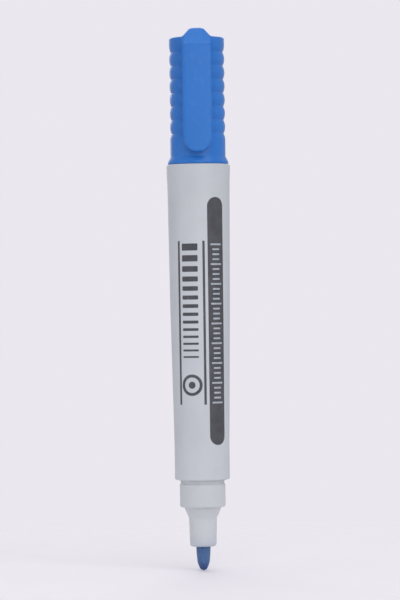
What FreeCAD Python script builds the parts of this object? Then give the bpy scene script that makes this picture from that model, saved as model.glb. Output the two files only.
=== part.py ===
import FreeCAD, Part
import math
import os

# A round whiteboard marker with a bullet nib, stored as it is while writing: the cap is pushed onto
# the barrel's tail. Millimetres. Z runs up the axis from the writing point (z = 0) to the cap's top,
# and the pocket clip faces -Y. Radii are measured from the Z axis.

# Roundings that many edges share
FINE_R = 0.1
MOULD_R = 0.2
EDGE_R = 0.3
SOFT_R = 0.8

# Nib
NIB_R = 1.95
NIB_EXPOSED = 6.5
NIB_LENGTH = 39.5
NIB_CLEARANCE = 0.02
NIB_TIP = (0.85, 0, 1.1)
NIB_WAIST = (1.66, 2.1, 4.0)
NIB_SHOULDER_Z = 4.6
NIB_SHOULDER_TAPER = 0.04
NIB_BULGE_R = 6.0
NIB_REAR_CONE = 2.6
NIB_REAR_R = 0.6

# Nose section: sleeve, cone, seat for the cap, neck and the spigot that plugs into the barrel
SLEEVE_TIP_R = 3.6
SLEEVE_R = 3.8
SLEEVE_TOP_Z = 14.2
CONE_TOP_R = 5.1
CONE_TOP_Z = 17.2
SEAT_R = 6.2
SEAT_STEP = 0.1
SEAT_STEP_R = 0.5
SEAT_TOP_Z = 23.5
GROOVE_CHAMFER = 0.15
NOSE_FLANGE_HEIGHT = 0.25
NECK_R = 5.95
NOSE_BORE_R = 2.15
NOSE_RIB_COUNT = 6
NOSE_RIB_WIDTH = 0.5
NOSE_RIB_INSET = 1.0
RIB_ROOT = 0.3
NIB_GUIDE_R = 3.2
NIB_GUIDE_TOP_Z = 26.0
SPIGOT_CAVITY_R = 4.75
SPIGOT_CAVITY_Z = 18.5
SPIGOT_TOP_Z = 32.0
SPIGOT_BEAD_HEIGHT = 1.0
SPIGOT_BEAD_Z = (26.5, 29.5)
PRESS_GAP = 0.01

# Barrel: front land, slight swell, flared tail shoulder and the boss that the cap is posted on
SHOULDER_Z = 24.7
FRONT_EDGE_R = 0.45
GRIP_R = 7.48
GRIP_TOP_Z = 34.0
SWELL_R = 8.1
SWELL_Z = 70.0
SWELL_CURVE_R = 400
REAR_R = 8.5
REAR_Z = 105.6
TAPER_END_R = 60
FLARE_HEIGHT = 3.0
FLARE_END_R = 15
TAIL_R = 8.64
TAIL_Z = 110.5
TAIL_EDGE_R = 0.4
TAIL_NECK_HEIGHT = 1.0
BOSS_R = 6.2
BOSS_TOP_Z = 120.4
BOSS_EDGE_R = 0.5
FRONT_BORE_R = 6.0
FRONT_BORE_TOP_Z = 33.0
BORE_FRONT_R = 5.85
BORE_REAR_R = 6.85
BORE_TOP_Z = 108.8
PLUG_BORE_R = 4.95
BORE_STEP = 0.3
RESERVOIR_RIB_COUNT = 6
RESERVOIR_RIB_WIDTH = 0.7
RESERVOIR_RIB_GAP = 0.05
RESERVOIR_RIB_LEAD = 5.0

# Ink reservoir and its film sleeve
RESERVOIR_R = 5.2
RESERVOIR_Z = (32.5, 108.3)
FILM_THICKNESS = 0.15
FILM_GAP = 0.02

# End plug
PLUG_FLANGE_R = 5.7
PLUG_FLANGE_HEIGHT = 0.9
PLUG_LENGTH = 7.0
PLUG_WALL = 0.9
PLUG_DISH_R = 3.2
PLUG_DISH_RIM_R = 4.2
PLUG_DISH_CURVE_R = 4.0
PLUG_DISH_DEPTH = 0.3
PLUG_FLANGE_ROUND = 0.6
PLUG_END_ROUND = 0.5

# Cap shell, posted on the tail; depths are measured up from its mouth
CAP_Z = TAIL_Z + 0.05
CAP_TOP_Z = 145.0
CAP_R = 7.47
CAP_CORNER_R = 0.5
RIM_R = 8.2
RIM_LAND = 0.6
RIM_FLARE_DEPTH = 2.1
CAP_MOUTH_R = 6.28
CAP_MOUTH_DEPTH = 12.4
CAP_LEAD_IN = (0.3, 0.5)
CAP_BORE_R = 5.95
CAP_ROOF_Z = 143.2
CAP_ROOF_ROUND = 0.6
GROOVE_COUNT = 7
GROOVE_DEPTH = 0.45
FIRST_GROOVE_Z = 118.9
GROOVE_PITCH = 3.683
GROOVE_SLOPE_DEG = 26.0
GROOVE_ROOT_R = 0.2

# Inner cap, the soft liner that seals over the nose sleeve
LINER_FLANGE_R = 6.2
LINER_DEPTH = 11.35
LINER_FLANGE_HEIGHT = 1.0
LINER_R = 5.0
LINER_BORE_R = 4.0
LINER_LIP_R = 3.7
LINER_LIP_Z = (1.6, 2.2)
LINER_LIP_ROUND = 0.4
LINER_LEAD_IN = 0.7
LINER_LENGTH = 16.9
LINER_ROOF = 1.0
LINER_RIB_COUNT = 6
LINER_RIB_R = 5.88
LINER_RIB_WIDTH = 0.8
LINER_RIB_GAP = 0.1
LINER_RIB_TOP_GAP = 1.5

# Pocket clip and the hump that joins it to the cap's top
CLIP_WIDTH = 7.9
CLIP_THICKNESS = 1.5
CLIP_FACE_Y = -10.15
CLIP_TIP_Z = 113.6
CLIP_HINGE_Z = 142.5
CLIP_SOCKET_GAP = 0.05
CLIP_PAD_GAP = 0.32
CLIP_PAD_Z = (116.2, 118.2)
CLIP_PAD_ROUND = 1.5
CLIP_PAD_RUN_OUT = 2.6
CLIP_PAD_RUN_OUT_R = 4.0
CLIP_EDGE_R = 0.5
HUMP_TOP_Z = 147.2
HUMP_TOP_HALF = 1.8
HUMP_TOP_ROUND = 1.5
HUMP_FLANK_Z = 145.28
HUMP_FLANK_ROUND = 0.4
HUMP_BROW = (0.45, 0.6)
HUMP_FRONT_Y = -8.0
HUMP_FRONT_ROUND = 1.3
HUMP_REAR_Y = -5.2
HUMP_REAR_ROUND = 2.0
HUMP_HEEL_Y = -1.4
HUMP_HEEL_Z = 144.0
HUMP_FLOOR_Z = 143.4
HUMP_ROOT_Y = -6.0

AXIS = FreeCAD.Vector(0, 0, 1)
ORIGIN = FreeCAD.Vector(0, 0, 0)


def in_xz(x, z):
    return FreeCAD.Vector(x, 0, z)


def in_yz(y, z):
    return FreeCAD.Vector(0, y, z)


def outline(corners, plane=in_xz):
    """The closed face through corners (a, b) or (a, b, rounding radius), in the given plane."""
    points = [plane(*corner[:2]) for corner in corners]
    radii = [corner[2] if len(corner) > 2 else 0 for corner in corners]
    starts, middles, ends = [], [], []
    for i, point in enumerate(points):
        before = (points[i - 1] - point).normalize()
        after = (points[(i + 1) % len(points)] - point).normalize()
        if radii[i] == 0:
            starts.append(point)
            middles.append(None)
            ends.append(point)
            continue
        half = before.getAngle(after) / 2
        tangent = radii[i] / math.tan(half)
        inward = (before + after).normalize()
        starts.append(point + before * tangent)
        middles.append(point + inward * (radii[i] / math.sin(half) - radii[i]))
        ends.append(point + after * tangent)
    edges = []
    for i in range(len(points)):
        if middles[i] is not None:
            edges.append(Part.Arc(starts[i], middles[i], ends[i]).toShape())
        following = starts[(i + 1) % len(points)]
        if ends[i].distanceToPoint(following) > 1e-6:
            edges.append(Part.LineSegment(ends[i], following).toShape())
    return Part.Face(Part.Wire(edges))


def turned(corners):
    """The solid of revolution of an outline of (radius, z) corners."""
    return outline(corners).revolve(ORIGIN, AXIS, 360)


def ring_of_ribs(count, width, inner_r, outer_r, low_z, high_z):
    """Straight ribs about the axis, from inner_r out to outer_r."""
    ribs = []
    for i in range(count):
        rib = Part.makeBox(outer_r, width, high_z - low_z, FreeCAD.Vector(0, -width / 2, low_z))
        rib.rotate(ORIGIN, AXIS, 360 * i / count)
        ribs.append(rib)
    height = high_z - low_z
    star = ribs[0].multiFuse(ribs[1:])
    star = star.cut(Part.makeCylinder(inner_r, height, in_xz(0, low_z)))
    return star.common(Part.makeCylinder(outer_r, height, in_xz(0, low_z)))


def nib_outline(grow):
    """The nib's corners, a bullet in front and a cone behind, with its side moved out by grow."""
    side = NIB_R + grow
    return [
        (0, 0),
        NIB_TIP,
        NIB_WAIST,
        (side - NIB_SHOULDER_TAPER, NIB_SHOULDER_Z, NIB_BULGE_R),
        (side, NIB_EXPOSED),
        (side, NIB_LENGTH - NIB_REAR_CONE),
        (NIB_REAR_R, NIB_LENGTH + grow),
        (0, NIB_LENGTH + grow),
    ]


def make_nib():
    return turned(nib_outline(0))


def make_nose_section():
    outside = [
        (NOSE_BORE_R, NIB_EXPOSED, MOULD_R),
        (SLEEVE_TIP_R, NIB_EXPOSED, SOFT_R),
        (SLEEVE_R, SLEEVE_TOP_Z, SOFT_R),
        (CONE_TOP_R, CONE_TOP_Z, MOULD_R),
        (SEAT_R, CONE_TOP_Z + SEAT_STEP, SEAT_STEP_R),
        (SEAT_R, SEAT_TOP_Z),
        (NECK_R, SEAT_TOP_Z + GROOVE_CHAMFER),
        (NECK_R, SHOULDER_Z - NOSE_FLANGE_HEIGHT - GROOVE_CHAMFER),
        (SEAT_R, SHOULDER_Z - NOSE_FLANGE_HEIGHT),
        (SEAT_R, SHOULDER_Z),
        (NECK_R, SHOULDER_Z),
    ]
    for z in SPIGOT_BEAD_Z:
        bead_r = FRONT_BORE_R - PRESS_GAP
        outside.append((NECK_R, z))
        outside.append((bead_r, z + SPIGOT_BEAD_HEIGHT / 3))
        outside.append((bead_r, z + SPIGOT_BEAD_HEIGHT * 2 / 3))
        outside.append((NECK_R, z + SPIGOT_BEAD_HEIGHT))
    inside = [
        (NECK_R, SPIGOT_TOP_Z, EDGE_R),
        (SPIGOT_CAVITY_R, SPIGOT_TOP_Z),
        (SPIGOT_CAVITY_R, SPIGOT_CAVITY_Z, EDGE_R),
        (NIB_GUIDE_R, SPIGOT_CAVITY_Z, EDGE_R),
        (NIB_GUIDE_R, NIB_GUIDE_TOP_Z, EDGE_R),
        (NOSE_BORE_R, NIB_GUIDE_TOP_Z, EDGE_R),
    ]
    nose = turned(outside + inside)
    grip = ring_of_ribs(
        NOSE_RIB_COUNT,
        NOSE_RIB_WIDTH,
        NIB_R + NIB_CLEARANCE,
        NOSE_BORE_R + RIB_ROOT,
        NIB_EXPOSED + NOSE_RIB_INSET,
        NIB_GUIDE_TOP_Z - NOSE_RIB_INSET,
    )
    return nose.fuse(grip)


def make_barrel():
    barrel = turned([
        (FRONT_BORE_R, SHOULDER_Z, FINE_R),
        (GRIP_R, SHOULDER_Z, FRONT_EDGE_R),
        (GRIP_R, GRIP_TOP_Z, TAPER_END_R),
        (SWELL_R, SWELL_Z, SWELL_CURVE_R),
        (REAR_R, REAR_Z, TAPER_END_R),
        (TAIL_R, REAR_Z + FLARE_HEIGHT, FLARE_END_R),
        (TAIL_R, TAIL_Z, TAIL_EDGE_R),
        (NECK_R, TAIL_Z, FINE_R),
        (NECK_R, TAIL_Z + TAIL_NECK_HEIGHT, FINE_R),
        (BOSS_R, TAIL_Z + TAIL_NECK_HEIGHT + MOULD_R, FINE_R),
        (BOSS_R, BOSS_TOP_Z, BOSS_EDGE_R),
        (PLUG_BORE_R, BOSS_TOP_Z),
        (PLUG_BORE_R, BORE_TOP_Z),
        (BORE_REAR_R, BORE_TOP_Z, SOFT_R),
        (BORE_FRONT_R, FRONT_BORE_TOP_Z + BORE_STEP),
        (FRONT_BORE_R, FRONT_BORE_TOP_Z),
    ])
    ribs = ring_of_ribs(
        RESERVOIR_RIB_COUNT,
        RESERVOIR_RIB_WIDTH,
        RESERVOIR_R + FILM_GAP + FILM_THICKNESS + RESERVOIR_RIB_GAP,
        BORE_REAR_R + RIB_ROOT,
        FRONT_BORE_TOP_Z + RESERVOIR_RIB_LEAD,
        BORE_TOP_Z,
    )
    return barrel.fuse(ribs)


def make_ink_reservoir():
    low, high = RESERVOIR_Z
    rod = Part.makeCylinder(RESERVOIR_R, high - low, in_xz(0, low))
    return rod.cut(turned(nib_outline(NIB_CLEARANCE)))


def make_reservoir_sleeve():
    low, high = RESERVOIR_Z
    inner_r = RESERVOIR_R + FILM_GAP
    tube = Part.makeCylinder(inner_r + FILM_THICKNESS, high - low, in_xz(0, low))
    return tube.cut(Part.makeCylinder(inner_r, high - low, in_xz(0, low)))


def make_end_plug():
    spigot_r = PLUG_BORE_R - PRESS_GAP
    low = BOSS_TOP_Z - PLUG_LENGTH
    top = BOSS_TOP_Z + PLUG_FLANGE_HEIGHT
    return turned([
        (0, top - PLUG_DISH_DEPTH),
        (PLUG_DISH_R, top - PLUG_DISH_DEPTH, PLUG_DISH_CURVE_R),
        (PLUG_DISH_RIM_R, top, EDGE_R),
        (PLUG_FLANGE_R, top, PLUG_FLANGE_ROUND),
        (PLUG_FLANGE_R, BOSS_TOP_Z, FINE_R),
        (spigot_r, BOSS_TOP_Z),
        (spigot_r, low, PLUG_END_ROUND),
        (spigot_r - PLUG_WALL, low),
        (spigot_r - PLUG_WALL, BOSS_TOP_Z - PLUG_DISH_DEPTH, EDGE_R),
        (0, BOSS_TOP_Z - PLUG_DISH_DEPTH),
    ])


def cap_outside():
    """Corners of the cap's outer face, from the mouth up: rim, smooth band, ribs and top."""
    slope = math.radians(GROOVE_SLOPE_DEG)
    root_r = CAP_R - GROOVE_DEPTH
    apex_r = root_r + GROOVE_PITCH / 2 * math.tan(slope)
    crest_round = (apex_r - CAP_R) / (1 / math.cos(slope) - 1)
    run_out = GROOVE_DEPTH / math.tan(slope)
    last_groove_z = FIRST_GROOVE_Z + GROOVE_PITCH * (GROOVE_COUNT - 1)
    corners = [
        (RIM_R, CAP_Z, MOULD_R),
        (RIM_R, CAP_Z + RIM_LAND, EDGE_R),
        (CAP_R, CAP_Z + RIM_FLARE_DEPTH, SOFT_R),
        (CAP_R, FIRST_GROOVE_Z - run_out, crest_round),
    ]
    for i in range(GROOVE_COUNT):
        groove_z = FIRST_GROOVE_Z + GROOVE_PITCH * i
        corners.append((root_r, groove_z, GROOVE_ROOT_R))
        if i < GROOVE_COUNT - 1:
            corners.append((apex_r, groove_z + GROOVE_PITCH / 2, crest_round))
    corners.append((CAP_R, last_groove_z + run_out, crest_round))
    corners.append((CAP_R, CAP_TOP_Z, CAP_CORNER_R))
    return corners


def make_hump():
    """The saddle on the cap's top that the clip hangs from, with the clip's hinge socket."""
    half = CLIP_WIDTH / 2
    brow_rise, brow_round = HUMP_BROW
    side = outline([
        (CLIP_FACE_Y, CLIP_HINGE_Z),
        (CLIP_FACE_Y, CLIP_HINGE_Z + brow_rise, brow_round),
        (HUMP_FRONT_Y, HUMP_TOP_Z, HUMP_FRONT_ROUND),
        (HUMP_REAR_Y, HUMP_TOP_Z, HUMP_REAR_ROUND),
        (HUMP_HEEL_Y, HUMP_HEEL_Z),
        (HUMP_HEEL_Y, HUMP_FLOOR_Z),
        (HUMP_ROOT_Y, HUMP_FLOOR_Z),
        (HUMP_ROOT_Y, CLIP_HINGE_Z),
    ], in_yz)
    side.translate(FreeCAD.Vector(-half, 0, 0))
    front = outline([
        (-half, CLIP_HINGE_Z),
        (half, CLIP_HINGE_Z),
        (half, HUMP_FLANK_Z, HUMP_FLANK_ROUND),
        (HUMP_TOP_HALF, HUMP_TOP_Z, HUMP_TOP_ROUND),
        (-HUMP_TOP_HALF, HUMP_TOP_Z, HUMP_TOP_ROUND),
        (-half, HUMP_FLANK_Z, HUMP_FLANK_ROUND),
    ])
    front.translate(FreeCAD.Vector(0, CLIP_FACE_Y - 1, 0))
    block = side.extrude(FreeCAD.Vector(CLIP_WIDTH, 0, 0))
    block = block.common(front.extrude(FreeCAD.Vector(0, 1 - CLIP_FACE_Y, 0)))
    socket = Part.makeCylinder(
        CLIP_THICKNESS / 2 + CLIP_SOCKET_GAP,
        CLIP_WIDTH + 2,
        FreeCAD.Vector(-half - 1, CLIP_FACE_Y + CLIP_THICKNESS / 2, CLIP_HINGE_Z),
        FreeCAD.Vector(1, 0, 0),
    )
    return block.cut(socket)


def make_cap_shell():
    step_z = CAP_Z + CAP_MOUTH_DEPTH
    lead_width, lead_height = CAP_LEAD_IN
    shell = turned(cap_outside() + [
        (0, CAP_TOP_Z),
        (0, CAP_ROOF_Z),
        (CAP_BORE_R, CAP_ROOF_Z, CAP_ROOF_ROUND),
        (CAP_BORE_R, step_z),
        (CAP_MOUTH_R, step_z),
        (CAP_MOUTH_R, CAP_Z + lead_height, MOULD_R),
        (CAP_MOUTH_R + lead_width, CAP_Z, MOULD_R),
    ])
    return shell.fuse(make_hump())


def make_clip():
    """The flat spring tongue; its top end is round about the hinge axis."""
    half = CLIP_WIDTH / 2
    back_y = CLIP_FACE_Y + CLIP_THICKNESS
    pad_y = -CAP_R - CLIP_PAD_GAP
    pad_low, pad_high = CLIP_PAD_Z
    knuckle_top = CLIP_HINGE_Z + CLIP_THICKNESS / 2
    side = outline([
        (CLIP_FACE_Y, knuckle_top, CLIP_THICKNESS / 2),
        (CLIP_FACE_Y, CLIP_TIP_Z, CLIP_EDGE_R),
        (back_y, CLIP_TIP_Z, CLIP_EDGE_R),
        (pad_y, pad_low, CLIP_PAD_ROUND),
        (pad_y, pad_high, CLIP_PAD_ROUND),
        (back_y, pad_high + CLIP_PAD_RUN_OUT, CLIP_PAD_RUN_OUT_R),
        (back_y, knuckle_top, CLIP_THICKNESS / 2),
    ], in_yz)
    side.translate(FreeCAD.Vector(-half, 0, 0))
    front = outline([
        (-half, CLIP_TIP_Z, half - 0.01),
        (half, CLIP_TIP_Z, half - 0.01),
        (half, knuckle_top),
        (-half, knuckle_top),
    ])
    front.translate(FreeCAD.Vector(0, CLIP_FACE_Y, 0))
    plate = front.extrude(FreeCAD.Vector(0, -CLIP_FACE_Y, 0))
    rim = [e for e in plate.Edges if edge_lies_on_face(e, CLIP_FACE_Y, knuckle_top)]
    plate = plate.makeFillet(CLIP_EDGE_R, rim)
    return side.extrude(FreeCAD.Vector(CLIP_WIDTH, 0, 0)).common(plate)


def edge_lies_on_face(edge, face_y, top_z):
    """Whether an edge borders the clip's face, other than at its top."""
    box = edge.BoundBox
    flat = abs(box.YMin - face_y) < 1e-4 and abs(box.YMax - face_y) < 1e-4
    return flat and box.ZMin < top_z - 1e-4


def make_inner_cap():
    low = CAP_Z + LINER_DEPTH
    top = low + LINER_LENGTH
    lip_low, lip_high = LINER_LIP_Z
    liner = turned([
        (LINER_BORE_R + LINER_LEAD_IN, low, MOULD_R),
        (LINER_FLANGE_R, low, MOULD_R),
        (LINER_FLANGE_R, low + LINER_FLANGE_HEIGHT, MOULD_R),
        (LINER_R, low + LINER_FLANGE_HEIGHT, EDGE_R),
        (LINER_R, top, SOFT_R),
        (0, top),
        (0, top - LINER_ROOF),
        (LINER_BORE_R, top - LINER_ROOF, SOFT_R),
        (LINER_BORE_R, low + lip_high, LINER_LIP_ROUND),
        (LINER_LIP_R, low + lip_low, LINER_LIP_ROUND),
    ])
    ribs = ring_of_ribs(
        LINER_RIB_COUNT,
        LINER_RIB_WIDTH,
        LINER_R - RIB_ROOT,
        LINER_RIB_R,
        low + LINER_FLANGE_HEIGHT + LINER_RIB_GAP,
        top - LINER_RIB_TOP_GAP,
    )
    return liner.fuse(ribs)


SUBPARTS = {
    "barrel": make_barrel,
    "nose_section": make_nose_section,
    "nib": make_nib,
    "ink_reservoir": make_ink_reservoir,
    "reservoir_sleeve": make_reservoir_sleeve,
    "end_plug": make_end_plug,
    "cap_shell": make_cap_shell,
    "inner_cap": make_inner_cap,
    "clip": make_clip,
}

os.makedirs("parts", exist_ok=True)
for name, make in SUBPARTS.items():
    shape = make().removeSplitter()
    solids = shape.Solids
    if len(solids) != 1 or not shape.isValid():
        raise ValueError(f"{name} is not one valid solid: {len(solids)} solids")
    solids[0].exportStep(f"parts/{name}.step")
    box = solids[0].BoundBox
    print(f"{name:18s} {solids[0].Volume:9.2f} mm3  z {box.ZMin:7.2f} to {box.ZMax:7.2f}")
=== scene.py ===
import bisect
import math

import bmesh
import bpy
from mathutils import Matrix, Vector, noise


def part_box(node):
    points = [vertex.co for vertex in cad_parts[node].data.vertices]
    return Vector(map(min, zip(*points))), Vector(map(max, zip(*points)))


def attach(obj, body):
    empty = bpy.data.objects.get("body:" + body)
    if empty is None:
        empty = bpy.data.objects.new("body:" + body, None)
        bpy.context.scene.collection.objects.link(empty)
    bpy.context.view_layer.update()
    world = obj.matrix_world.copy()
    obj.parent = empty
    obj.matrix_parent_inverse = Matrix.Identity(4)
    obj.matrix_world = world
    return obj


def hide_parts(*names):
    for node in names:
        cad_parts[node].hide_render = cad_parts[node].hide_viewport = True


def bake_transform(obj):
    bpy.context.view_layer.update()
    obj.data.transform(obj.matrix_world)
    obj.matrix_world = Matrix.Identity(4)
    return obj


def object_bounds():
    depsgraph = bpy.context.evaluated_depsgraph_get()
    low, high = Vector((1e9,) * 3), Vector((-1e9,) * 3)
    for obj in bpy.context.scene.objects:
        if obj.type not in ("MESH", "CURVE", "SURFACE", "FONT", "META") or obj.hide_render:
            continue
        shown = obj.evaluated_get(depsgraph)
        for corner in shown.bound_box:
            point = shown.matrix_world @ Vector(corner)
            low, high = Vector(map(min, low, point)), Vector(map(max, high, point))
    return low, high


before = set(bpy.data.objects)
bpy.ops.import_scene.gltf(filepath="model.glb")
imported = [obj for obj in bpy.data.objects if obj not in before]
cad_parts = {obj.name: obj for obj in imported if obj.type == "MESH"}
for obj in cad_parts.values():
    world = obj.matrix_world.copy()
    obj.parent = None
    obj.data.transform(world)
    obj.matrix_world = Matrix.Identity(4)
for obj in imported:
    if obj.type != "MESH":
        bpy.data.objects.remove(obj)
cad_low, cad_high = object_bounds()

# The frame's own lengths are in metres. Those below are in millimetres, and MM turns them into metres,
# unless a name or a comment says metres.
MM = 0.001
TURN = 2 * math.pi


def node_box(name):
    """A CAD node's lowest and highest corners in millimetres."""
    low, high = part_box(name)
    return low / MM, high / MM


# Sizes read from the frame
CLIP_LOW, CLIP_HIGH = node_box("clip")
CAP_LOW, CAP_HIGH = node_box("cap_shell")
BARREL_HIGH = node_box("barrel")[1]
NIB_HIGH = node_box("nib")[1]
NOSE_LOW = node_box("nose_section")[0]
CAP_Z = CAP_LOW.z
RIM_R = CAP_HIGH.x
HUMP_TOP_Z = CAP_HIGH.z
TAIL_R = BARREL_HIGH.x
CLIP_FACE_Y = CLIP_LOW.y
CLIP_HALF = CLIP_HIGH.x
CLIP_TIP_Z = CLIP_LOW.z
CLIP_PAD_Y = CLIP_HIGH.y
NIB_R = NIB_HIGH.x
NIB_EXPOSED = NOSE_LOW.z

# Cap shell, as in the CAD part; a ROUND is the rounding radius of a corner
CAP_R = 7.47
CAP_TOP_Z = 145.0
CAP_TOP_ROUND = 0.5
CAP_ROOF_Z = 143.2
CAP_ROOF_ROUND = 0.6
CAP_ANGLES = 144
RIM_LAND = 0.6
RIM_ROUNDS = (0.2, 0.3)
RIM_FLARE_DEPTH = 2.1
RIM_FLARE_INSET = 0.02
RIM_FLARE_ROUND = 0.8
CAP_MOUTH_R = 6.28
CAP_MOUTH_DEPTH = 12.4
CAP_MOUTH_FACE_R = CAP_MOUTH_R + 0.4
CAP_LEAD_IN = (0.3, 0.5)  # outwards and upwards
CAP_LEAD_IN_ROUNDS = (0.1, 0.2)
CAP_BORE_R = 5.95
CAP_STEP_ROUND = 0.1
GROOVE_COUNT = 7
GROOVE_DEPTH = 0.45
FIRST_GROOVE_Z = 118.9
GROOVE_PITCH = 3.683
GROOVE_SLOPE_DEG = 26.0
GROOVE_ROOT_ROUND = 0.18

# The gate mark in the middle of the cap's top: a dimple with a broken stub in it
GATE_R = 0.8
GATE_DEPTH = 0.25
GATE_ROUNDS = (0.12, 0.1)
STUB_RADII = (0.35, 0.28)
STUB_HEIGHT = 0.13
STUB_MIDDLE_HEIGHT = 0.1
STUB_ROUND = 0.04

# Flash lines on the cap's sides
SEAM_HEIGHT = 0.035
SEAM_HALF_DEG = 0.5
SEAM_ANGLE_SHARES = (-1, -0.35, 0.35, 1)
SEAM_MARGIN = 0.05

# Pocket clip
CLIP_THICKNESS = 1.5
CLIP_EDGE_R = 0.55
CLIP_BACK_EDGE_SHARE = 0.6  # how round the tip's back edge is, as a share of its front edge
CLIP_HINGE_Z = 142.5
CLIP_ROOT_FILLET = 0.6
CLIP_PAD_Z = (116.2, 118.2)
CLIP_PAD_RAMPS = (2, 4)  # below and above the pad
CLIP_PAD_END_Z = 122.4
CLIP_STRAIGHT_Z = (124, 137)
CLIP_ROOT_Z = 138
CLIP_CROWN = 0.12
CORNER_STEPS = 6
SIDE_STEP_SHARE = 0.1

# The saddle that carries the clip over the cap's edge
HUMP_BROW = (0.45, 0.6)  # height over the fold line, and rounding
HUMP_FRONT_Y = -8.0
HUMP_FRONT_ROUND = 1.3
HUMP_REAR_Y = -5.2
HUMP_REAR_ROUND = 2.0
HUMP_CREST_Y = (-6.6, -6.4)  # where the front and the rear outline end
HUMP_CREST_HALF = 0.6
HUMP_CREST_HEIGHT = 0.5
HUMP_CREST_LEVELS = 12
HUMP_ROOT = (-6.0, 143.4)  # y and z
HUMP_FLOOR_RISE = 0.05  # level() needs an outline that rises
HUMP_HEEL_Y = -1.4
HUMP_HEEL_SUNK = 0.1
HUMP_HEEL_RUN = (0.9, 0.15)  # forwards along the cap's top, and up
HUMP_HEEL_ROUND = 1.2
HUMP_FLANK_Z = 144.85
HUMP_FLANK_ROUND = 0.3
HUMP_WAIST = (3.45, 145.25)  # half width and z
HUMP_TOP_HALF = 1.8
HUMP_TOP_ROUND = 1.5
HUMP_EXTRA_ROUND = 0.45  # how much rounder its level sections are at the top
HUMP_FOOT_R = 0.6
HUMP_FOOT_SUNK = 0.45
HUMP_FOOT_Y = (-6.3, -5.6)  # where the fillet round the foot starts and is full

# Nib, as in the CAD part: corners are (radius, z, rounding)
NIB_TIP = (0.85, 0, 1.1)
NIB_WAIST = (1.66, 2.1, 4.0)
NIB_SHOULDER = (NIB_R - 0.04, 4.6, 6.0)
NIB_STEM_Z = (6.5, 6.8, 7.1)
NIB_REAR_CONE = 2.6
NIB_REAR_R = 0.6
NIB_ROW_STEP = 0.18
NIB_ANGLES = 96

# Relief of the nib's fibre: noise scale round the nib, noise scale along it, and depth
FIBRE_RELIEFS = ((5, 0.35, 0.022), (14, 0.8, 0.012))
FIBRE_INSET = 0.012
FIBRE_HIDDEN_RUN = 0.6  # how far the relief goes on inside the nose
FIBRE_MIN_R = 0.2

# Printed marks on the barrel: distances round the barrel from the clip side towards +X, and heights
INK_LIFT = 0.025
INK_DEPTH = 0.03
RAY_CLEARANCE = 3
ROW_STEP = 3.0
LARGE_CORNER = 0.5
LARGE_CORNER_TURNS_DEG = (3, 6)  # the first angle and the step
SMALL_CORNER_TURNS_DEG = (12, 20)
CAPSULE_ARC = 4.72
CAPSULE_HALF = 2.45
CAPSULE_Z = (34.3, 101.4)
CAPSULE_END_FLAT = 0.01
SCALE_Z = (45.8, 88.6)
SCALE_PITCH = 1.34
SCALE_LONG_HALF = 1.65
SCALE_SHORT_HALF = 1.1
SCALE_TICK_HALF = 0.24
SCALE_TICK_ROUND = 0.12
SCALE_GROUP = 4
SCALE_LIFT = 0.015
RULE_ARCS = (1.15, -6.05)
RULE_HALF = 0.32
RULE_Z = (45.3, 89.6)
RULE_ROUND = 0.1
MOTIF_ARC = -2.75
BAR_HALF = 2.25
BAR_TOP_Z = 88.9
BAR_COUNT = 14
BAR_THICKNESS = 1.9
BAR_SHRINK = 0.9
BAR_GAP = 1.25
BAR_ROUND = 0.25
BAR_ROUND_SHARE = 0.4
RING_ARC = -2.5
RING_Z = 50.6
RING_RADII = (2.1, 2.9)
RING_STEP = 0.4
RING_POINTS = 48
DOT_R = 0.95
DOT_END_FLAT = 0.02

# Where the materials change along the marker's axis or away from it
GRIP_Z = (62, 38)
SEAT_SCUFF_Z = (17.4, 18.2)
NOSE_STAIN_Z = (NIB_EXPOSED - 2.2, NIB_EXPOSED + 2.4)
NIB_WET_Z = (1.6, 4.4)
NIB_MATT_Z = (1.2, 4.6)
CREST_WEAR_R = (CAP_R - 0.10, CAP_R + 0.01)
LINER_STAIN_R = (4.4, 3.8)

# Stage, lights and camera
FLOOR_FADE = (60, 210)  # distances from the axis
FLOOR_HALF_M = 0.25
FLOOR_GAP_M = 0.0001
CAMERA_DISTANCE_M = 0.84
CAMERA_ROLL_DEG = 0.8
FRAME_FILL = 0.90  # the marker's share of the picture's height
SENSOR_MM = 36

# Name, place in metres, size in metres, and power in watts
LIGHTS = (
    ("key", (0.22, -0.58, 0.48), 0.8, 2.7),
    ("fill", (-0.62, -0.38, 0.20), 0.5, 0.35),
    ("back", (-0.10, 0.65, 0.40), 0.6, 1.3),
    ("top", (-0.05, 0.10, 0.75), 0.5, 0.6),
)

# Linear colours; a pair is the two ends of a variation
BARREL_GREY = (0.582, 0.609, 0.645)
HANDLED_GREY = (0.42, 0.43, 0.45, 1)
NOSE_GREY = (0.602, 0.627, 0.648)
NOSE_STAIN = (0.13, 0.24, 0.50, 1)
CAP_BLUE = (0.020, 0.178, 0.600)
WORN_BLUE = (0.10, 0.27, 0.68, 1)
NIB_DRY = ((0.040, 0.105, 0.25, 1), (0.095, 0.19, 0.37, 1))
NIB_WET = ((0.016, 0.045, 0.18, 1), (0.040, 0.095, 0.28, 1))
INK_DARK = ((0.058, 0.059, 0.070, 1), (0.080, 0.081, 0.094, 1))
INK_WORN = (0.36, 0.37, 0.40, 1)
INK_PALE = ((0.36, 0.40, 0.45, 1), (0.47, 0.51, 0.56, 1))
LINER_WHITE = (0.74, 0.74, 0.70)
LINER_STAIN = (0.12, 0.22, 0.50, 1)
RESERVOIR_BLUE = ((0.05, 0.11, 0.38, 1), (0.14, 0.24, 0.56, 1))
FILM_CLEAR = ((0.62, 0.70, 0.80, 1), (0.74, 0.80, 0.87, 1))
FLOOR_PALE = ((0.865, 0.835, 0.885, 1), (0.885, 0.855, 0.905, 1))
BACKDROP = (0.83, 0.80, 0.86, 1)
AMBIENT = (0.545, 0.545, 0.57, 1)


# ---------------------------------------------------------------- shapes

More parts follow.
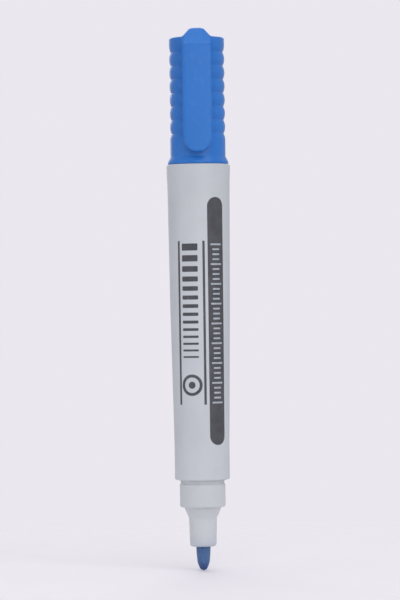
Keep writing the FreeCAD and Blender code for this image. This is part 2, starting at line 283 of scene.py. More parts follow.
def rounded(corners, step_deg):
    """Points along (a, b) or (a, b, rounding radius) corners, with each rounding as an arc."""
    points = [Vector(corners[0][:2])]
    for before, corner, after in zip(corners, corners[1:], corners[2:]):
        here = Vector(corner[:2])
        if len(corner) < 3:
            points.append(here)
            continue
        back = (Vector(before[:2]) - here).normalized()
        on = (Vector(after[:2]) - here).normalized()
        half = back.angle(on) / 2
        inward = (back + on).normalized()
        centre = here + inward * corner[2] / math.sin(half)
        start = here + back * corner[2] / math.tan(half) - centre
        end = here + on * corner[2] / math.tan(half) - centre
        sweep = start.angle_signed(end)
        count = max(2, math.ceil(abs(math.degrees(sweep)) / step_deg))
        for i in range(count + 1):
            points.append(centre + Matrix.Rotation(-sweep * i / count, 2) @ start)
    points.append(Vector(corners[-1][:2]))
    return points


def level(points, z):
    """The first coordinate of a rising (a, z) polyline at height z."""
    heights = [p.y for p in points]
    i = min(max(bisect.bisect_right(heights, z), 1), len(points) - 1)
    low, high = points[i - 1], points[i]
    if high.y - low.y < 1e-9:
        return high.x
    share = min(max((z - low.y) / (high.y - low.y), 0), 1)
    return low.x + (high.x - low.x) * share


def spaced(low, high, step):
    """Evenly spaced values from low to high, both included, about step apart."""
    count = max(1, round((high - low) / step))
    return [low + (high - low) * i / count for i in range(count + 1)]


def finished(bm, name, sharp_deg=35):
    """The bmesh as a smooth-shaded object with its hard edges kept."""
    bmesh.ops.remove_doubles(bm, verts=bm.verts, dist=1e-8)
    bmesh.ops.recalc_face_normals(bm, faces=bm.faces)
    mesh = bpy.data.meshes.new(name)
    bm.to_mesh(mesh)
    bm.free()
    mesh.shade_smooth()
    mesh.set_sharp_from_angle(angle=math.radians(sharp_deg))
    obj = bpy.data.objects.new(name, mesh)
    bpy.context.scene.collection.objects.link(obj)
    return obj


def bridge(bm, rings, wrap):
    """Faces between neighbouring rings of vertices; a ring of one vertex is a pole."""
    for lower, upper in zip(rings, rings[1:]):
        count = max(len(lower), len(upper))
        for i in range(count if wrap else count - 1):
            j = (i + 1) % count
            corners = []
            for ring, index in ((lower, i), (lower, j), (upper, j), (upper, i)):
                vertex = ring[index % len(ring)]
                if vertex not in corners:
                    corners.append(vertex)
            if len(corners) > 2:
                bm.faces.new(corners)


def turned(name, profile, angles, lift):
    """A surface of revolution of (radius, z) points; lift(angle, radius, z) moves the radius."""
    bm = bmesh.new()
    rings = []
    for radius, z in profile:
        if radius < 1e-6:
            rings.append([bm.verts.new((0, 0, z * MM))])
            continue
        ring = []
        for angle in angles:
            r = radius + lift(angle, radius, z)
            ring.append(bm.verts.new((r * MM * math.cos(angle), r * MM * math.sin(angle), z * MM)))
        rings.append(ring)
    # An outline that starts and ends off the axis is closed.
    if len(rings[0]) > 1 and len(rings[-1]) > 1:
        rings.append(rings[0])
    bridge(bm, rings, wrap=True)
    return finished(bm, name)


def even_angles(count):
    return [TURN * i / count for i in range(count)]


# ---------------------------------------------------------------- materials

class Surface:
    """A procedural material in the making: a Principled shader and the nodes that feed it."""

    def __init__(self, name, **values):
        self.material = bpy.data.materials.new(name)
        self.material.use_nodes = True
        self.tree = self.material.node_tree
        self.shader = self.tree.nodes["Principled BSDF"]
        for key, value in values.items():
            self.shader.inputs[key.replace("_", " ")].default_value = value
        self.place = self.add("ShaderNodeTexCoord").outputs["Object"]
        self.height = None

    def add(self, kind, inputs=None, **settings):
        node = self.tree.nodes.new(kind)
        for key, value in settings.items():
            setattr(node, key, value)
        for key, value in (inputs or {}).items():
            self.feed(node.inputs[key], value)
        return node

    def feed(self, socket, value):
        if isinstance(value, bpy.types.NodeSocket):
            self.tree.links.new(value, socket)
        else:
            socket.default_value = value

    def noise(self, size, stretch=(1, 1, 1), detail=3.0, rough=0.55):
        """Noise from 0 to 1 with features of about size millimetres, longer along a small stretch."""
        scaled = self.add("ShaderNodeMapping", {"Vector": self.place, "Scale": stretch})
        inputs = {
            "Vector": scaled.outputs["Vector"],
            "Scale": 1 / (size * MM),
            "Detail": detail,
            "Roughness": rough,
        }
        return self.add("ShaderNodeTexNoise", inputs).outputs["Fac"]

    def math(self, operation, a, b=0.0):
        return self.add("ShaderNodeMath", {0: a, 1: b}, operation=operation).outputs[0]

    def ramp(self, value, low, high, to_low=0.0, to_high=1.0):
        """Maps low..high to to_low..to_high with soft ends, held outside."""
        inputs = {
            "Value": value,
            "From Min": low,
            "From Max": high,
            "To Min": to_low,
            "To Max": to_high,
        }
        node = self.add("ShaderNodeMapRange", inputs, interpolation_type="SMOOTHSTEP")
        return node.outputs["Result"]

    def mix(self, share, a, b):
        """Colour a where share is 0, and b where it is 1."""
        node = self.add("ShaderNodeMix", data_type="RGBA")
        self.feed(node.inputs[0], share)
        self.feed(node.inputs[6], a)
        self.feed(node.inputs[7], b)
        return node.outputs[2]

    def along(self, axis):
        """A coordinate of the point, in millimetres, or its distance from the Z axis for "R"."""
        parts = self.add("ShaderNodeSeparateXYZ", {"Vector": self.place})
        if axis != "R":
            return self.math("DIVIDE", parts.outputs[axis], MM)
        flat = self.add("ShaderNodeCombineXYZ", {"X": parts.outputs["X"], "Y": parts.outputs["Y"]})
        length = self.add("ShaderNodeVectorMath", {0: flat.outputs[0]}, operation="LENGTH")
        return self.math("DIVIDE", length.outputs["Value"], MM)

    def relief(self, height, depth):
        """Adds a bump of depth millimetres where height goes from 0 to 1."""
        scaled = self.math("MULTIPLY", height, depth)
        self.height = scaled if self.height is None else self.math("ADD", self.height, scaled)

    def done(self, colour, roughness):
        self.feed(self.shader.inputs["Base Color"], colour)
        self.feed(self.shader.inputs["Roughness"], roughness)
        if self.height is not None:
            inputs = {"Height": self.height, "Distance": MM, "Strength": 1.0}
            bump = self.add("ShaderNodeBump", inputs)
            self.feed(self.shader.inputs["Normal"], bump.outputs["Normal"])
        return self.material


def scaled_colour(colour, factor):
    """An RGB colour made lighter or darker, with an alpha of 1."""
    return tuple(min(1.0, c * factor) for c in colour) + (1.0,)


def scratches(surface, size, share):
    """Thin marks mostly along the marker's axis; 1 on a mark and 0 elsewhere."""
    streak = surface.noise(size, stretch=(1, 1, 0.06), detail=2)
    patch = surface.noise(size * 22, detail=2)
    off_centre = surface.math("ABSOLUTE", surface.math("SUBTRACT", streak, 0.5))
    line = surface.ramp(off_centre, 0, 0.012, 1, 0)
    return surface.math("MULTIPLY", line, surface.ramp(patch, 1 - share, 1.15 - share))


def moulded_plastic(name, colour, roughness, grain=0.0016, **values):
    """Injection-moulded plastic: a faint orange peel, a fine grain, mottling and light handling marks."""
    s = Surface(name, IOR=1.49, **values)
    peel = s.noise(2.2, stretch=(1, 1, 0.6), detail=2)
    fine = s.noise(0.14, detail=2)
    mottle = s.noise(14, detail=3)
    marks = scratches(s, 0.35, 0.42)
    s.relief(peel, 0.012)
    s.relief(fine, grain)
    s.relief(marks, -0.003)
    base = s.mix(s.ramp(mottle, 0.3, 0.7), scaled_colour(colour, 0.965), scaled_colour(colour, 1.03))
    base = s.mix(s.math("MULTIPLY", marks, 0.15), base, scaled_colour(colour, 1.18))
    uneven = s.ramp(mottle, 0.25, 0.75, roughness - 0.03, roughness + 0.05)
    rough = s.math("ADD", uneven, s.math("MULTIPLY", marks, 0.12))
    return s, base, rough


def barrel_material():
    s, base, rough = moulded_plastic("barrel_plastic", BARREL_GREY, 0.38, Subsurface_Weight=0.06)
    s.shader.inputs["Subsurface Radius"].default_value = (0.9 * MM, 0.9 * MM, 1.0 * MM)
    # Handling polishes and darkens the lower part, where the fingers hold it.
    z = s.along("Z")
    grip = s.math("MULTIPLY", s.ramp(z, *GRIP_Z), s.ramp(s.noise(5, detail=4), 0.5, 0.78))
    base = s.mix(s.math("MULTIPLY", grip, 0.10), base, HANDLED_GREY)
    rough = s.math("ADD", rough, s.math("MULTIPLY", grip, -0.07))
    return s.done(base, rough)


def nose_material():
    s, base, rough = moulded_plastic("nose_plastic", NOSE_GREY, 0.40, Subsurface_Weight=0.08)
    s.shader.inputs["Subsurface Radius"].default_value = (0.8 * MM, 0.8 * MM, 1.0 * MM)
    # Ink has crept from the nib over the end of the sleeve.
    z = s.along("Z")
    wander = s.math("MULTIPLY", s.noise(1.6, detail=4), 3.4)
    stain = s.ramp(s.math("SUBTRACT", z, wander), *NOSE_STAIN_Z, 1, 0)
    base = s.mix(s.math("MULTIPLY", stain, 0.22), base, NOSE_STAIN)
    # The cap scuffs the seat; what is above that is hidden in the barrel.
    cap_rub = s.math("MULTIPLY", s.ramp(z, *SEAT_SCUFF_Z), s.noise(0.5, stretch=(1, 1, 0.08)))
    rough = s.math("ADD", rough, s.math("MULTIPLY", cap_rub, 0.08))
    return s.done(base, rough)


def cap_material(name="cap_plastic"):
    s, base, rough = moulded_plastic(name, CAP_BLUE, 0.32, grain=0.001, Specular_IOR_Level=0.4)
    # Rubbing lightens and dulls the crests of the ribs and the rim.
    crest = s.ramp(s.along("R"), *CREST_WEAR_R)
    worn = s.math("MULTIPLY", crest, s.ramp(s.noise(1.1, stretch=(1, 1, 0.5), detail=5), 0.48, 0.75))
    base = s.mix(s.math("MULTIPLY", worn, 0.22), base, WORN_BLUE)
    rough = s.math("ADD", rough, s.math("MULTIPLY", worn, 0.12))
    return s.done(base, rough)


def plug_material():
    s, base, rough = moulded_plastic("plug_plastic", CAP_BLUE, 0.32, grain=0.001)
    return s.done(base, rough)


def nib_material():
    s = Surface("nib_fibre", Sheen_Weight=0.2, Sheen_Roughness=0.5, IOR=1.4)
    fibre = s.noise(0.12, stretch=(1, 1, 0.05), detail=4, rough=0.7)
    clump = s.noise(0.5, stretch=(1, 1, 0.12), detail=3)
    fuzz = s.noise(0.06, detail=3)
    s.relief(fibre, 0.05)
    s.relief(clump, 0.04)
    s.relief(fuzz, 0.012)
    dry = s.mix(s.ramp(fibre, 0.3, 0.7), *NIB_DRY)
    wet = s.mix(s.ramp(fibre, 0.3, 0.7), *NIB_WET)
    tide = s.math("ADD", s.along("Z"), s.math("MULTIPLY", clump, 2.0))
    base = s.mix(s.ramp(tide, *NIB_WET_Z), wet, dry)
    return s.done(base, s.ramp(tide, *NIB_MATT_Z, 0.55, 0.82))


def ink_material():
    """Screen-printed ink: dark, slightly uneven, with pinholes and worn spots."""
    s = Surface("print_ink", IOR=1.5)
    cloud = s.noise(3.0, detail=4)
    pinholes = s.ramp(s.noise(0.22, detail=1), 0.74, 0.80)
    worn = s.math("MULTIPLY", scratches(s, 0.5, 0.45), 0.5)
    base = s.mix(s.ramp(cloud, 0.3, 0.7), *INK_DARK)
    missing = s.math("MAXIMUM", s.math("MULTIPLY", pinholes, 0.35), worn)
    base = s.mix(missing, base, INK_WORN)
    s.relief(s.noise(0.25, detail=2), 0.002)
    return s.done(base, s.ramp(cloud, 0.3, 0.7, 0.42, 0.52))


def light_ink_material():
    """The pale marks on the dark panel."""
    s = Surface("print_light", IOR=1.5)
    cloud = s.noise(1.2, detail=4)
    base = s.mix(s.ramp(cloud, 0.3, 0.7), *INK_PALE)
    s.relief(s.noise(0.25, detail=2), 0.002)
    return s.done(base, s.ramp(cloud, 0.3, 0.7, 0.42, 0.5))


def liner_material():
    s, base, rough = moulded_plastic("liner_plastic", LINER_WHITE, 0.45, Subsurface_Weight=0.35)
    s.shader.inputs["Subsurface Radius"].default_value = (1.5 * MM, 1.4 * MM, 1.2 * MM)
    ink = s.math("MULTIPLY", s.ramp(s.noise(1.3, detail=4), 0.52, 0.7), s.ramp(s.along("R"), *LINER_STAIN_R))
    base = s.mix(s.math("MULTIPLY", ink, 0.5), base, LINER_STAIN)
    return s.done(base, rough)


def reservoir_material():
    s = Surface("reservoir_fibre", Sheen_Weight=0.3)
    fibre = s.noise(0.10, stretch=(1, 1, 0.03), detail=4, rough=0.7)
    s.relief(fibre, 0.05)
    base = s.mix(s.ramp(fibre, 0.3, 0.7), *RESERVOIR_BLUE)
    return s.done(base, s.ramp(fibre, 0.3, 0.7, 0.75, 0.9))


def film_material():
    s = Surface("clear_film", IOR=1.5, Transmission_Weight=0.6)
    crease = s.noise(2.5, stretch=(1, 1, 0.2), detail=4)
    s.relief(crease, 0.06)
    base = s.mix(s.ramp(crease, 0.3, 0.7), *FILM_CLEAR)
    return s.done(base, s.ramp(crease, 0.3, 0.7, 0.10, 0.22))


def floor_material():
    """Pale and matt; it fades out into the backdrop a little way from the marker."""
    s = Surface("floor", Specular_IOR_Level=0.2)
    base = s.mix(s.noise(60, detail=4), *FLOOR_PALE)
    material = s.done(base, s.ramp(s.noise(9), 0.3, 0.7, 0.7, 0.8))
    fade = s.ramp(s.along("R"), *FLOOR_FADE)
    mix = s.add("ShaderNodeMixShader")
    s.feed(mix.inputs["Fac"], fade)
    s.feed(mix.inputs[1], s.shader.outputs["BSDF"])
    s.feed(mix.inputs[2], s.add("ShaderNodeBsdfTransparent").outputs["BSDF"])
    s.feed(s.tree.nodes["Material Output"].inputs["Surface"], mix.outputs["Shader"])
    return material


def dress(obj, material):
    """Puts one material on every slot of an object, and gives it a slot first if it has none."""
    if not obj.material_slots:
        obj.data.materials.append(material)
    for slot in obj.material_slots:
        slot.link = "OBJECT"
        slot.material = material
    return obj


# ---------------------------------------------------------------- cap

def cap_profile():
    """The cap's outline as (radius, z), in two parts: mouth to axis over the ribs, and back down the bore."""
    slope = math.radians(GROOVE_SLOPE_DEG)
    root_r = CAP_R - GROOVE_DEPTH
    apex_r = root_r + GROOVE_PITCH / 2 * math.tan(slope)
    crest_round = (apex_r - CAP_R) / (1 / math.cos(slope) - 1)
    run_out = GROOVE_DEPTH / math.tan(slope)
    last_groove_z = FIRST_GROOVE_Z + GROOVE_PITCH * (GROOVE_COUNT - 1)
    corners = [
        (CAP_MOUTH_FACE_R, CAP_Z),
        (RIM_R, CAP_Z, RIM_ROUNDS[0]),
        (RIM_R, CAP_Z + RIM_LAND, RIM_ROUNDS[1]),
        (CAP_R - RIM_FLARE_INSET, CAP_Z + RIM_FLARE_DEPTH, RIM_FLARE_ROUND),
        (CAP_R, FIRST_GROOVE_Z - run_out, crest_round),
    ]
    for i in range(GROOVE_COUNT):
        groove_z = FIRST_GROOVE_Z + GROOVE_PITCH * i
        corners.append((root_r, groove_z, GROOVE_ROOT_ROUND))
        if i < GROOVE_COUNT - 1:
            corners.append((apex_r, groove_z + GROOVE_PITCH / 2, crest_round))
    gate_z = CAP_TOP_Z - GATE_DEPTH
    corners += [
        (CAP_R, last_groove_z + run_out, crest_round),
        (CAP_R, CAP_TOP_Z, CAP_TOP_ROUND),
        (GATE_R + GATE_DEPTH, CAP_TOP_Z, GATE_ROUNDS[0]),
        (GATE_R, gate_z, GATE_ROUNDS[1]),
        (STUB_RADII[0], gate_z, STUB_ROUND),
        (STUB_RADII[1], gate_z + STUB_HEIGHT, STUB_ROUND),
        (0, gate_z + STUB_MIDDLE_HEIGHT),
    ]
    step_z = CAP_Z + CAP_MOUTH_DEPTH
    lead_in, lead_in_height = CAP_LEAD_IN
    inside = [
        (0, CAP_ROOF_Z),
        (CAP_BORE_R, CAP_ROOF_Z, CAP_ROOF_ROUND),
        (CAP_BORE_R, step_z, CAP_STEP_ROUND),
        (CAP_MOUTH_R, step_z, CAP_STEP_ROUND),
        (CAP_MOUTH_R, CAP_Z + lead_in_height, CAP_LEAD_IN_ROUNDS[1]),
        (CAP_MOUTH_R + lead_in, CAP_Z, CAP_LEAD_IN_ROUNDS[0]),
        (CAP_MOUTH_FACE_R, CAP_Z),
    ]
    return rounded(corners, step_deg=6), rounded(inside, step_deg=9)


def seam(angle, radius, z):
    """The faint flash line that the two mould halves leave on the cap's sides, along +X and -X."""
    if radius < CAP_R - GROOVE_DEPTH - SEAM_MARGIN or z > CAP_TOP_Z - SEAM_MARGIN:
        return 0
    off = abs(math.remainder(angle, math.pi))
    share = 1 - off / math.radians(SEAM_HALF_DEG)
    return SEAM_HEIGHT * max(0, share)


def make_cap():
    outside, inside = cap_profile()
    angles = even_angles(CAP_ANGLES)
    for side in (0, math.pi):
        for share in SEAM_ANGLE_SHARES:
            angles.append((side + math.radians(SEAM_HALF_DEG) * share) % TURN)
    # The outline ends at the mouth, where it began; turned() closes it, so its last point is left out.
    profile = [(p.x, p.y) for p in (outside + inside)[:-1]]
    cap = turned("cap_ribbed", profile, sorted(angles), seam)
    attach(cap, "cap_shell")
    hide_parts("cap_shell")
    dress(cap, cap_material())


# ---------------------------------------------------------------- clip

def rounded_rectangle(half, front, back, corner):
    """Points round a level rectangle with rounded corners, the same number for every size."""
    widest = 0.98  # a corner leaves at least a little of each side straight
    corner = min(corner, half * widest, (back - front) / 2 * widest)
    arcs = []
    for x_side, y, turn in ((1, front, -90), (1, back, 0), (-1, back, 90), (-1, front, 180)):
        centre_x = x_side * (half - corner)
        centre_y = y + corner if y == front else y - corner
        arc = []
        for i in range(CORNER_STEPS + 1):
            a = math.radians(turn + 90 / CORNER_STEPS * i)
            arc.append(Vector((centre_x + corner * math.cos(a), centre_y + corner * math.sin(a))))
        arcs.append(arc)
    points = []
    for i, arc in enumerate(arcs):
        start, end = arc[-1], arcs[(i + 1) % 4][0]
        points += arc
        points += [start.lerp(end, share) for share in spaced(0, 1, SIDE_STEP_SHARE)[1:-1]]
    return points


def soft_step(value, low, high):
    share = min(max((value - low) / (high - low), 0), 1)
    return share * share * (3 - 2 * share)


def clip_levels():
    """Section heights of the tongue: close together where its outline curves."""
    tip = [CLIP_TIP_Z + CLIP_HALF * (1 - math.cos(math.radians(a))) for a in range(6, 91, 4)]
    pad = spaced(CLIP_TIP_Z + CLIP_HALF + 0.2, CLIP_PAD_END_Z, step=0.3)
    straight = spaced(*CLIP_STRAIGHT_Z, step=2)
    root = spaced(CLIP_ROOT_Z, CLIP_HINGE_Z - 0.7, step=0.25)
    return tip + pad + straight + root


def clip_sections():
    """Level sections of the tongue, bottom to top: (z, half width, front y, back y, corner)."""
    back = CLIP_FACE_Y + CLIP_THICKNESS
    pad_low, pad_high = CLIP_PAD_Z
    ramp_below, ramp_above = CLIP_PAD_RAMPS
    sections = []
    for z in clip_levels():
        rise = z - CLIP_TIP_Z
        half = CLIP_HALF * math.sin(math.acos(max(0, 1 - rise / CLIP_HALF)))
        inset = 0
        if rise < CLIP_EDGE_R:
            inset = CLIP_EDGE_R - math.sqrt(CLIP_EDGE_R**2 - (CLIP_EDGE_R - rise) ** 2)
        pad = soft_step(z, pad_low - ramp_below, pad_low) - soft_step(z, pad_high, pad_high + ramp_above)
        rear = back + (CLIP_PAD_Y - back) * pad - inset * CLIP_BACK_EDGE_SHARE
        sections.append((z, half, CLIP_FACE_Y + inset, rear, CLIP_EDGE_R))
    for a in range(15, 91, 15):
        z = CLIP_HINGE_Z - CLIP_ROOT_FILLET + CLIP_ROOT_FILLET * math.sin(math.radians(a))
        rear = back + CLIP_ROOT_FILLET - CLIP_ROOT_FILLET * math.cos(math.radians(a))
        sections.append((z, CLIP_HALF, CLIP_FACE_Y, rear, CLIP_EDGE_R))
    return sections


def hump_outlines():
    """The saddle's outlines as rising polylines: half width, front y and rear y against height."""
    brow_height, brow_round = HUMP_BROW
    heel_run, heel_rise = HUMP_HEEL_RUN
    flank = rounded([
        (CLIP_HALF, CLIP_HINGE_Z),
        (CLIP_HALF, HUMP_FLANK_Z, HUMP_FLANK_ROUND),
        (*HUMP_WAIST, HUMP_TOP_ROUND),
        (HUMP_TOP_HALF, HUMP_TOP_Z, HUMP_TOP_ROUND),
        (HUMP_CREST_HALF, HUMP_TOP_Z),
    ], step_deg=4)
    front = rounded([
        (CLIP_FACE_Y, CLIP_HINGE_Z),
        (CLIP_FACE_Y, CLIP_HINGE_Z + brow_height, brow_round),
        (HUMP_FRONT_Y, HUMP_TOP_Z, HUMP_FRONT_ROUND),
        (HUMP_CREST_Y[0], HUMP_TOP_Z),
    ], step_deg=5)
    rear = rounded([
        (HUMP_ROOT[0], CLIP_HINGE_Z),
        HUMP_ROOT,
        (HUMP_HEEL_Y, HUMP_ROOT[1] + HUMP_FLOOR_RISE),
        (HUMP_HEEL_Y, CAP_TOP_Z - HUMP_HEEL_SUNK),
        (HUMP_HEEL_Y - heel_run, CAP_TOP_Z + heel_rise, HUMP_HEEL_ROUND),
        (HUMP_REAR_Y, HUMP_TOP_Z, HUMP_REAR_ROUND),
        (HUMP_CREST_Y[1], HUMP_TOP_Z),
    ], step_deg=5)
    return flank, front, rear


def hump_levels():
    """Section heights of the saddle: closest at its foot, and closing up under its top."""
    crest_low = HUMP_TOP_Z - HUMP_CREST_HEIGHT
    below = spaced(CLIP_HINGE_Z + 0.02, CAP_TOP_Z - 0.5, step=0.12)
    foot = spaced(CAP_TOP_Z - HUMP_FOOT_SUNK, HUMP_WAIST[1] + 0.4, step=0.05)
    middle = spaced(HUMP_WAIST[1] + 0.5, crest_low, step=0.1)
    crest = []
    for i in range(1, HUMP_CREST_LEVELS + 1):
        crest.append(HUMP_TOP_Z - HUMP_CREST_HEIGHT * (1 - i / HUMP_CREST_LEVELS) ** 2)
    return below + foot + middle + crest


def hump_sections():
    """Level sections of the saddle that carries the tongue over the cap's edge."""
    flank, front, rear = hump_outlines()
    sections = []
    for z in hump_levels():
        corner = CLIP_EDGE_R + HUMP_EXTRA_ROUND * soft_step(z, CLIP_HINGE_Z, HUMP_TOP_Z)
        sections.append((z, level(flank, z), level(front, z), level(rear, z), corner))
    return sections


def foot_spread(z):
    """How far the fillet round the saddle's foot stands out: fully where it is sunk in the cap's top."""
    rise = z - CAP_TOP_Z
    if rise >= HUMP_FOOT_R or rise < -HUMP_FOOT_SUNK:
        return 0
    return HUMP_FOOT_R - math.sqrt(HUMP_FOOT_R**2 - (HUMP_FOOT_R - max(rise, 0)) ** 2)


def make_clip():
    bm = bmesh.new()
    rings = []
    for z, half, front, back, corner in clip_sections() + hump_sections():
        ring = []
        for x, y in rounded_rectangle(half, front, back, corner):
            x *= 1 + foot_spread(z) * soft_step(y, *HUMP_FOOT_Y) / half
            if y < front + corner and z < CLIP_HINGE_Z:
                y += CLIP_CROWN * (x / CLIP_HALF) ** 2
            ring.append(bm.verts.new((x * MM, y * MM, z * MM)))
        rings.append(ring)
    bridge(bm, rings, wrap=True)
    bm.faces.new(rings[0])
    bm.faces.new(rings[-1])
    clip = finished(bm, "clip_tongue", sharp_deg=40)
    dress(clip, cap_material("clip_plastic"))
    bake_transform(clip)
    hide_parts("clip")


# ---------------------------------------------------------------- nib

def nib_grain(angle, radius, z):
    """The slight unevenness of the bonded fibre, long along the nib."""
    if z > NIB_EXPOSED + FIBRE_HIDDEN_RUN or radius < FIBRE_MIN_R:
        return 0
    relief = 0
    for around, along, depth in FIBRE_RELIEFS:
        point = Vector((math.cos(angle) * around, math.sin(angle) * around, z * along))
        relief += depth * noise.noise(point)
    return min(1, radius / NIB_R) * relief - FIBRE_INSET


def make_nib():
    tip = rounded([(0, 0), NIB_TIP, NIB_WAIST, NIB_SHOULDER, (NIB_R, NIB_EXPOSED)], step_deg=5)
    body = []
    for low, high in zip(tip, tip[1:]):
        step = max(0.02, NIB_ROW_STEP / max((high - low).length, 0.01))
        body += [low.lerp(high, share) for share in spaced(0, 1, step)[:-1]]
    body += [Vector((NIB_R, z)) for z in (*NIB_STEM_Z, NIB_HIGH.z - NIB_REAR_CONE)]
    body += [Vector((NIB_REAR_R, NIB_HIGH.z)), Vector((0, NIB_HIGH.z))]
    nib = turned("nib_bullet", [(p.x, p.y) for p in body], even_angles(NIB_ANGLES), nib_grain)
    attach(nib, "barrel")
    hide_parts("nib")
    dress(nib, nib_material())


# ---------------------------------------------------------------- print

def skin(z, angle=0.0):
    """The point of the barrel's outside at a height and an angle from the clip side, and the way out."""
    out = Vector((math.sin(angle), -math.cos(angle), 0))
    start = out * (TAIL_R + RAY_CLEARANCE) * MM + Vector((0, 0, z * MM))
    hit, place, _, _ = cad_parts["barrel"].ray_cast(start, -out)
    if not hit:
        raise ValueError(f"no barrel surface at height {z}")
    return place, out


def on_barrel(arc, z, lift):
    """The point at arc millimetres round from the clip side, lift above the barrel's outside."""
    radius = skin(z)[0].xy.length / MM
    place, out = skin(z, arc / radius)
    return place + out * lift * MM


def slab(bm, arc, rows, lift, wrap=False):
    """A thin raised patch about arc from rows of (arc, z) points, closed below the skin."""
    top = [[bm.verts.new(on_barrel(arc + a, z, lift)) for a, z in row] for row in rows]
    low = [[bm.verts.new(on_barrel(arc + a, z, -INK_DEPTH)) for a, z in row] for row in rows]
    bridge(bm, top, wrap)
    bridge(bm, low, wrap)
    bridge(bm, [top[0], low[0]], wrap)
    bridge(bm, [top[-1], low[-1]], wrap)
    if not wrap:
        for side in (0, -1):
            bridge(bm, [[row[side] for row in top], [row[side] for row in low]], False)


def panel_rows(half, low_z, high_z, corner, columns=8):
    """Rows of (arc, z) points over an upright panel with rounded corners."""
    rows = []
    first, step = LARGE_CORNER_TURNS_DEG if corner > LARGE_CORNER else SMALL_CORNER_TURNS_DEG
    turns = [math.radians(a) for a in spaced(first, 90, step)]
    ends = [(corner * (1 - math.cos(a)), half - corner + corner * math.sin(a)) for a in turns]
    levels = [(low_z + up, width) for up, width in ends]
    levels += [(z, half) for z in spaced(low_z + corner, high_z - corner, ROW_STEP)[1:-1]]
    levels += [(high_z - up, width) for up, width in reversed(ends)]
    for z, width in levels:
        rows.append([(width * (2 * i / columns - 1), z) for i in range(columns + 1)])
    return rows


def ring_rows(inner, outer, centre_z):
    rows = []
    for radius in spaced(inner, outer, RING_STEP):
        ring = [(radius * math.cos(a), centre_z + radius * math.sin(a)) for a in even_angles(RING_POINTS)]
        rows.append(ring)
    return rows


def printed(bm, name, material):
    """A printed piece on the barrel, from its bmesh."""
    piece = finished(bm, name, sharp_deg=50)
    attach(piece, "barrel")
    dress(piece, material)


def print_capsule(ink):
    bm = bmesh.new()
    rows = panel_rows(CAPSULE_HALF, *CAPSULE_Z, CAPSULE_HALF - CAPSULE_END_FLAT, columns=12)
    slab(bm, CAPSULE_ARC, rows, INK_LIFT)
    printed(bm, "print_capsule", ink)


def print_rules(ink):
    bm = bmesh.new()
    for arc in RULE_ARCS:
        slab(bm, arc, panel_rows(RULE_HALF, *RULE_Z, RULE_ROUND, columns=2), INK_LIFT)
    printed(bm, "print_rules", ink)


def print_motif(ink):
    """Bars that thin out downwards, and a ring with a dot."""
    bm = bmesh.new()
    top = BAR_TOP_Z
    for i in range(BAR_COUNT):
        thickness = BAR_THICKNESS * BAR_SHRINK**i
        rounding = min(BAR_ROUND, thickness * BAR_ROUND_SHARE)
        slab(bm, MOTIF_ARC, panel_rows(BAR_HALF, top - thickness, top, rounding), INK_LIFT)
        top -= thickness + BAR_GAP
    slab(bm, RING_ARC, ring_rows(*RING_RADII, RING_Z), INK_LIFT, wrap=True)
    dot = panel_rows(DOT_R, RING_Z - DOT_R, RING_Z + DOT_R, DOT_R - DOT_END_FLAT)
    slab(bm, RING_ARC, dot, INK_LIFT)
    printed(bm, "print_motif", ink)


def print_scale():
    """Ticks on the dark capsule, every fourth one longer."""
    bm = bmesh.new()
    for i, z in enumerate(spaced(*SCALE_Z, SCALE_PITCH)):
        half = SCALE_SHORT_HALF if i % SCALE_GROUP else SCALE_LONG_HALF
        tick = panel_rows(half, z - SCALE_TICK_HALF, z + SCALE_TICK_HALF, SCALE_TICK_ROUND, columns=6)
        slab(bm, CAPSULE_ARC, tick, INK_LIFT + SCALE_LIFT)
    printed(bm, "print_scale", light_ink_material())


def make_print():
    """The marks on the barrel: plain shapes, and generic ones in place of lettering."""
    ink = ink_material()
    print_capsule(ink)
    print_rules(ink)
    print_motif(ink)
    print_scale()


# ---------------------------------------------------------------- stage, lights and camera

def make_floor():
    mesh = bpy.data.meshes.new("floor")
    half = FLOOR_HALF_M
    corners = [(-half, -half, 0), (half, -half, 0), (half, half, 0), (-half, half, 0)]
    mesh.from_pydata(corners, [], [(0, 1, 2, 3)])
    floor = bpy.data.objects.new("floor", mesh)
    bpy.context.scene.collection.objects.link(floor)
    floor.location.z = cad_low.z - FLOOR_GAP_M
    dress(floor, floor_material())


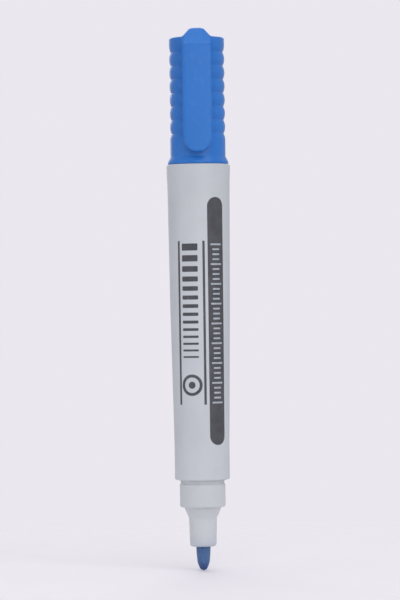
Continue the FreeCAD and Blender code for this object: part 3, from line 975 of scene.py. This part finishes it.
def soft_light(name, place, size, power):
    """A square area light aimed at the middle of the marker."""
    light = bpy.data.lights.new(name, "AREA")
    light.size = size
    light.energy = power
    lamp = bpy.data.objects.new(name, light)
    bpy.context.scene.collection.objects.link(lamp)
    lamp.location = place
    aim = (cad_low + cad_high) / 2 - Vector(place)
    lamp.rotation_euler = aim.to_track_quat("-Z", "Y").to_euler()


def make_world():
    """Pale all round: dimmer as a light than as the background that the camera sees."""
    world = bpy.data.worlds.new("studio")
    bpy.context.scene.world = world
    world.use_nodes = True
    nodes, links = world.node_tree.nodes, world.node_tree.links
    shown = nodes["Background"]
    shown.inputs["Color"].default_value = BACKDROP
    ambient = nodes.new("ShaderNodeBackground")
    ambient.inputs["Color"].default_value = AMBIENT
    rays = nodes.new("ShaderNodeLightPath")
    choice = nodes.new("ShaderNodeMixShader")
    links.new(rays.outputs["Is Camera Ray"], choice.inputs["Fac"])
    links.new(ambient.outputs["Background"], choice.inputs[1])
    links.new(shown.outputs["Background"], choice.inputs[2])
    links.new(choice.outputs["Shader"], nodes["World Output"].inputs["Surface"])


def make_camera():
    """Looks straight at the clip side from the marker's mid height."""
    data = bpy.data.cameras.new("camera")
    camera = bpy.data.objects.new("camera", data)
    bpy.context.scene.collection.objects.link(camera)
    length = cad_high.z - cad_low.z
    data.sensor_width = SENSOR_MM
    data.lens = SENSOR_MM * CAMERA_DISTANCE_M / (length / FRAME_FILL)
    camera.location = (0, -CAMERA_DISTANCE_M, (cad_low.z + cad_high.z) / 2)
    camera.rotation_euler = (math.radians(90), math.radians(CAMERA_ROLL_DEG), 0)
    bpy.context.scene.camera = camera


def set_look():
    view = bpy.context.scene.view_settings
    view.view_transform = "Standard"
    view.look = "None"


make_camera()
make_world()
make_floor()
for light_values in LIGHTS:
    soft_light(*light_values)
set_look()

CAD_NODE_MATERIALS = (
    ("barrel", barrel_material),
    ("nose_section", nose_material),
    ("end_plug", plug_material),
    ("inner_cap", liner_material),
    ("ink_reservoir", reservoir_material),
    ("reservoir_sleeve", film_material),
)
for node_name, make_material in CAD_NODE_MATERIALS:
    dress(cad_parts[node_name], make_material())
make_cap()
make_clip()
make_nib()
make_print()
